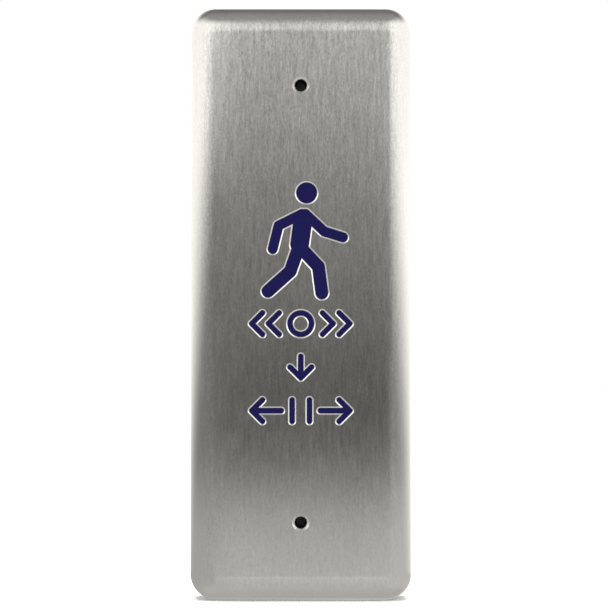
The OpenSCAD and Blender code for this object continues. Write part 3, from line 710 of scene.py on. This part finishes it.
def ring_solid(bm, grow_top, grow_bottom, top, bottom):
    """The ring in the first row of signs, as a square outline spun round."""
    outer, inner = SIGN_H / 2, SIGN_H / 2 - SIGN_STROKE
    corners = [(outer + grow_top, top), (inner - grow_top, top),
               (inner - grow_bottom, bottom), (outer + grow_bottom, bottom),
               (outer + grow_top, top)]
    outline = [(radius * MM, FRONT + depth * MM) for radius, depth in corners]
    lathe(bm, outline, (0, FIRST_ROW_Z * MM))


def box_object(size, depth, material):
    """A block of that size in mm whose middle lies so far below the face."""
    bm = bmesh.new()
    bmesh.ops.create_cube(bm, size=MM)
    bmesh.ops.scale(bm, vec=size, verts=bm.verts)
    bmesh.ops.translate(bm, vec=(0, FRONT + depth * MM, 0), verts=bm.verts)
    return to_object("block", bm, material)


def strokes_tool(strokes, with_ring, grow_top, grow_bottom, top, bottom, material):
    """All strokes of one graphic, joined into one clean solid. A tiny stagger keeps any
    two of them from sharing a face, which a boolean dislikes."""
    bm = bmesh.new()
    for count, (width, start, end) in enumerate(strokes):
        shift = count * STAGGER
        radius = width / 2 + count % STAGGERED_RADII * STAGGER_R
        stroke_solid(bm, start, end, radius + grow_top, radius + grow_bottom,
                     top - shift, bottom + shift)
    if with_ring:
        ring_solid(bm, grow_top, grow_bottom, top, bottom)
    close_up(bm)
    tool = to_object("tool", bm, material)
    combine(tool, box_object(CLEAN_BLOCK, 0, material), "INTERSECT", overlapping=True)
    return tool


# %% [markdown]
# ## Enamel
# The paint is wiped in and dries slightly below the steel. Each filling is a thin slab,
# cut to the strokes' outline, so that its surface is one flat face.


# %% Fill the pockets
ENAMEL_SHARP = math.radians(50)


def enamel_piece(name, strokes, with_ring, node):
    depth = POCKET_DEPTH - ENAMEL_GAP - RECESS
    slab = box_object((SLAB_W, depth, SLAB_H), RECESS + depth / 2,
                      FINISHES["navy_enamel"])
    slab.name = name
    tool = strokes_tool(strokes, with_ring, -ENAMEL_GAP, -ENAMEL_GAP - WALL_SLANT,
                        -CUT_OVER, POCKET_DEPTH + CUT_OVER, FINISHES["navy_enamel"])
    combine(slab, tool, "INTERSECT")
    shade(slab.data, ENAMEL_SHARP)
    finish_piece(slab, "plate", "navy_enamel", node)


enamel_piece("figure_enamel_fill", figure_strokes(), False, "figure_enamel")
enamel_piece("sign_enamel_fill", sign_strokes(), True, "sign_enamel")

# %% [markdown]
# ## Face plate
# A flat steel blank whose four edges are pressed back in a round bend. A box with its
# back taken off gives it: the upright corner edges are bevelled first, then the front
# edges, which is the bend. Fine cuts near the sides let the sheet sink softly towards
# the bend, as pressed sheet does, and two cuts near each end keep its shading even there.
# Then the sheet gets its thickness, and the pockets, a shallow lip round each of them
# and the two key holes are cut out of it.

# %% Press the face plate
FACE_T = 1.5
CORNER_R = 5.0
EDGE_BEND_R = 4.6
RUN_OUT = 6.2
RUN_OUT_DEPTH = 0.24
RUN_OUT_CUTS = 8
# The run-out goes on into the bend, up to this many times its own width
RUN_OUT_LIMIT = 1.9
END_CUTS = (0.3, 1)
BEND_STEPS = 18
CORNER_STEPS = 14
KEY_HOLE_D = 2.4
KEY_CHAMFER = 0.45
SCREW_INSET = 15.25
FACE_SHARP = math.radians(18)
# The cosine past which a face of the blank counts as its front or its back
FACING = 0.9

face_size = face_high - face_low
half_w, half_h = face_size.x / 2, face_size.z / 2


def bevel(bm, edges, offset, steps):
    return bmesh.ops.bevel(bm, geom=edges, offset=offset, offset_type="OFFSET",
                           segments=steps, profile=0.5, affect="EDGES", material=-1,
                           clamp_overlap=False)


def pressed_blank():
    bm = bmesh.new()
    bmesh.ops.create_cube(bm, size=1)
    bmesh.ops.scale(bm, vec=face_size, verts=bm.verts)
    bmesh.ops.translate(bm, vec=(face_low + face_high) / 2, verts=bm.verts)
    back = [f for f in bm.faces if f.normal.y > FACING]
    bmesh.ops.delete(bm, geom=back, context="FACES")
    corners = [e for e in bm.edges
               if abs(e.verts[0].co.y - e.verts[1].co.y) > face_size.y / 2]
    bevel(bm, corners, CORNER_R * MM, CORNER_STEPS)
    front = [f for f in bm.faces if f.normal.y < -FACING]
    bevel(bm, list(front[0].edges), EDGE_BEND_R * MM, BEND_STEPS)
    return bm


def soften_sides(bm):
    """Cuts the flat front near its sides and sinks it along a smooth curve."""
    start = half_w - (EDGE_BEND_R + RUN_OUT) * MM
    places = [start + RUN_OUT * MM * step / RUN_OUT_CUTS for step in range(RUN_OUT_CUTS)]
    cuts = [((x, 0, 0), (1, 0, 0)) for x in places]
    cuts += [((0, 0, half_h - (EDGE_BEND_R + inside) * MM), (0, 0, 1))
             for inside in END_CUTS]
    for spot, way in cuts:
        for side in (1, -1):
            bmesh.ops.bisect_plane(bm, geom=bm.verts[:] + bm.edges[:] + bm.faces[:],
                                   dist=WELD, plane_co=Vector(spot) * side, plane_no=way)
    for v in bm.verts:
        past = max(abs(v.co.x) - start, 0) / (RUN_OUT * MM)
        sink = RUN_OUT_DEPTH * MM * min(past, RUN_OUT_LIMIT) ** 2
        rear = (face_high.y - v.co.y) / face_size.y
        v.co.y += sink * max(rear, 0)


def key_hole_tool(z, material):
    """A round cutter with a cone at its mouth, for the hole and its chamfer."""
    bm = bmesh.new()
    hole = KEY_HOLE_D / 2 * MM
    wide = hole + KEY_CHAMFER * MM
    over = CUT_OVER * MM
    outline = [(0, FRONT - over), (wide + over, FRONT - over), (wide, FRONT),
               (hole, FRONT + KEY_CHAMFER * MM), (hole, FRONT + 2 * FACE_T * MM),
               (0, FRONT + 2 * FACE_T * MM)]
    lathe(bm, outline, (0, z))
    close_up(bm)
    return to_object("key_hole_tool", bm, material)


# %% Make the sheet and cut it
blank = pressed_blank()
soften_sides(blank)
bmesh.ops.recalc_face_normals(blank, faces=blank.faces)
face = to_object("pressed_face", blank, FINISHES["brushed_stainless"])
sheet = face.modifiers.new("sheet", "SOLIDIFY")
sheet.thickness = FACE_T * MM
sheet.offset = -1
sheet.use_even_offset = True
apply_modifiers(face)
# The cut faces take the rim colour, a painted highlight along every pocket and key hole
rim_metal = painted_highlight_rim()
face.data.materials.append(rim_metal)
# (growth at the top and at the bottom, top, bottom) of the pocket and of its lip
cuts = [(0, -WALL_SLANT, -CUT_OVER, POCKET_DEPTH),
        (LIP_WIDTH * (1 + CUT_OVER / LIP_DEPTH), 0, -CUT_OVER, LIP_DEPTH)]
for strokes, ring in ((figure_strokes(), False), (sign_strokes(), True)):
    for grow_top, grow_bottom, top, bottom in cuts:
        cutter = strokes_tool(strokes, ring, grow_top, grow_bottom, top, bottom, rim_metal)
        combine(face, cutter, "DIFFERENCE")
for side in (1, -1):
    tool = key_hole_tool(side * (half_h - SCREW_INSET * MM), rim_metal)
    combine(face, tool, "DIFFERENCE")
shade(face.data, FACE_SHARP)
finish_piece(face, "plate", "brushed_stainless", "face_plate")

# %% [markdown]
# ## Everything behind the face
# Pressed sheet, moulded plastic and turned metal never have knife edges. Each hidden
# part has its exact shape in the CAD model already, so a copy of it is merged, its loose
# triangles are dissolved into whole faces and a small bevel breaks its edges. The width
# of that bevel is the one number chosen for each piece.

# %% Round the edges of the CAD parts
# node: (slot, bevel in mm)
HIDDEN_PARTS = {
    "weld_studs": ("plain_steel", 0.15), "carrier": ("zinc_plated_steel", 0.3),
    "carrier_nuts": ("zinc_plated_steel", 0.18), "carrier_washers": ("zinc_plated_steel", 0.1),
    "guide_bushes": ("natural_acetal", 0.15), "back_plate": ("zinc_plated_steel", 0.3),
    "wall_gasket": ("gasket_foam", 0.25), "captive_screws": ("black_oxide_steel", 0.18),
    "bump_stops": ("black_rubber", 0.35), "pusher": ("natural_acetal", 0.12),
    "pusher_bush": ("brass", 0.1), "pusher_clip": ("spring_steel", 0.08),
    "switch_bracket": ("zinc_plated_steel", 0.25), "bracket_rivets": ("plain_steel", 0.25),
    "switch_case": ("brown_phenolic", 0.25), "switch_cover": ("black_nylon", 0.3),
    "switch_plunger": ("red_plastic", 0.1), "switch_lever": ("spring_steel", 0.08),
    "lever_pin": ("plain_steel", 0.1), "contact_blade": ("copper_alloy", 0.06),
    "terminal_common": ("tinned_brass", 0.12), "terminal_open": ("tinned_brass", 0.12),
    "terminal_closed": ("tinned_brass", 0.12), "switch_screws": ("zinc_plated_steel", 0.2),
    "switch_nuts": ("zinc_plated_steel", 0.2), "switch_washers": ("zinc_plated_steel", 0.1),
}
BEVEL_ANGLE = math.radians(32)
SAME_PLANE = math.radians(0.5)


def merged_copy(node, slot, smooth):
    """A CAD node's shape with whole faces, so that it can be bevelled or bent."""
    bm = bmesh.new()
    bm.from_mesh(frame["nodes"][node].data)
    bmesh.ops.remove_doubles(bm, verts=bm.verts, dist=WELD)
    bmesh.ops.dissolve_limit(bm, angle_limit=SAME_PLANE, verts=bm.verts, edges=bm.edges)
    thing = to_object(node + "_piece", bm, FINISHES[slot])
    thing.data.polygons.foreach_set("use_smooth", [smooth] * len(thing.data.polygons))
    return thing


def rounded_copy(node, slot, width):
    thing = merged_copy(node, slot, True)
    edges = thing.modifiers.new("broken_edges", "BEVEL")
    edges.width = width * MM
    edges.segments = 2
    edges.limit_method = "ANGLE"
    edges.angle_limit = BEVEL_ANGLE
    edges.use_clamp_overlap = True
    edges.harden_normals = True
    finish_piece(thing, frame["nodes"][node]["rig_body"], slot, node)


for node, (slot, width) in HIDDEN_PARTS.items():
    rounded_copy(node, slot, width)

# %% [markdown]
# ## Rings and snap spring
# Two kinds of part give way instead of turning. A rubber ring sits under each screw head,
# and how far the plate moves at the height of the ring's outer edge when it rocks fully
# is worked out here, for the springs below. A bowed leaf stands on the common terminal
# with one end and on the contact blade with the other. Both keep their CAD shape.

# %% Make the rings and the snap spring
rock = next(joint for joint in frame["joints"] if joint["name"] == "rock")
rings = merged_copy("silencing_rings", "black_rubber", True)
finish_piece(rings, "base", "black_rubber", "silencing_rings")
ring_low, ring_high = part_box("silencing_rings")
rock_sink = ring_high.z * math.radians(rock["range_deg"][1])
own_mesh(rings)

leaf = merged_copy("blade_spring", "spring_steel", False)
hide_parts("blade_spring")
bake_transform(leaf)

# %% [markdown]
# ## Return springs
# Two conical wire springs push the plate out again. A cone lets each turn sink into the
# next, so that the spring goes nearly flat. A small wire section is spun round four
# times, and then each section is moved up and in by its share of the way. The front end
# leaves room for the plate, which sinks that much further at one end when it rocks.

# %% Wind the return springs
WIRE_D = 0.7
WIRE_SIDES = 12
TURNS = 4
# Turns at each end that lie flat on their seat
FLAT_TURNS = 0.6
STEPS_PER_TURN = 40
LOW_R = 6.0
HIGH_R = 3.65


def conical_spring(bm, z, low, high):
    """One spring round a level axis at that height, between two depths in metres."""
    before = len(bm.verts)
    spot = Matrix.Translation((LOW_R * MM, low, z))
    made = bmesh.ops.create_circle(bm, segments=WIRE_SIDES, radius=WIRE_D / 2 * MM,
                                   matrix=spot)
    ring = made["verts"]
    edges = list(set(e for v in ring for e in v.link_edges))
    steps = TURNS * STEPS_PER_TURN
    flat = FLAT_TURNS / TURNS
    bmesh.ops.spin(bm, geom=ring + edges, cent=(0, 0, z), axis=(0, 1, 0),
                   angle=math.tau * TURNS, steps=steps)
    for index, v in enumerate(list(bm.verts)[before:]):
        share = index // WIRE_SIDES / steps
        rise = min(max((share - flat) / (1 - 2 * flat), 0), 1)
        angle = math.atan2(v.co.z - z, v.co.x)
        inward = (LOW_R - HIGH_R) * MM * share
        v.co -= Vector((math.cos(angle), 0, math.sin(angle))) * inward
        v.co.y += (high - low) * rise


spring_low, spring_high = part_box("return_springs")
wire = WIRE_D / 2 * MM
bm = bmesh.new()
for side in (1, -1):
    conical_spring(bm, side * (half_h - SCREW_INSET * MM), spring_high.y - wire,
                   spring_low.y + wire + rock_sink)
ends = [e for e in bm.edges if e.is_boundary]
bmesh.ops.holes_fill(bm, edges=ends, sides=0)
bmesh.ops.recalc_face_normals(bm, faces=bm.faces)
springs = to_object("conical_springs", bm, FINISHES["spring_steel"])
finish_piece(springs, "base", "spring_steel", "return_springs")
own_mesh(springs)
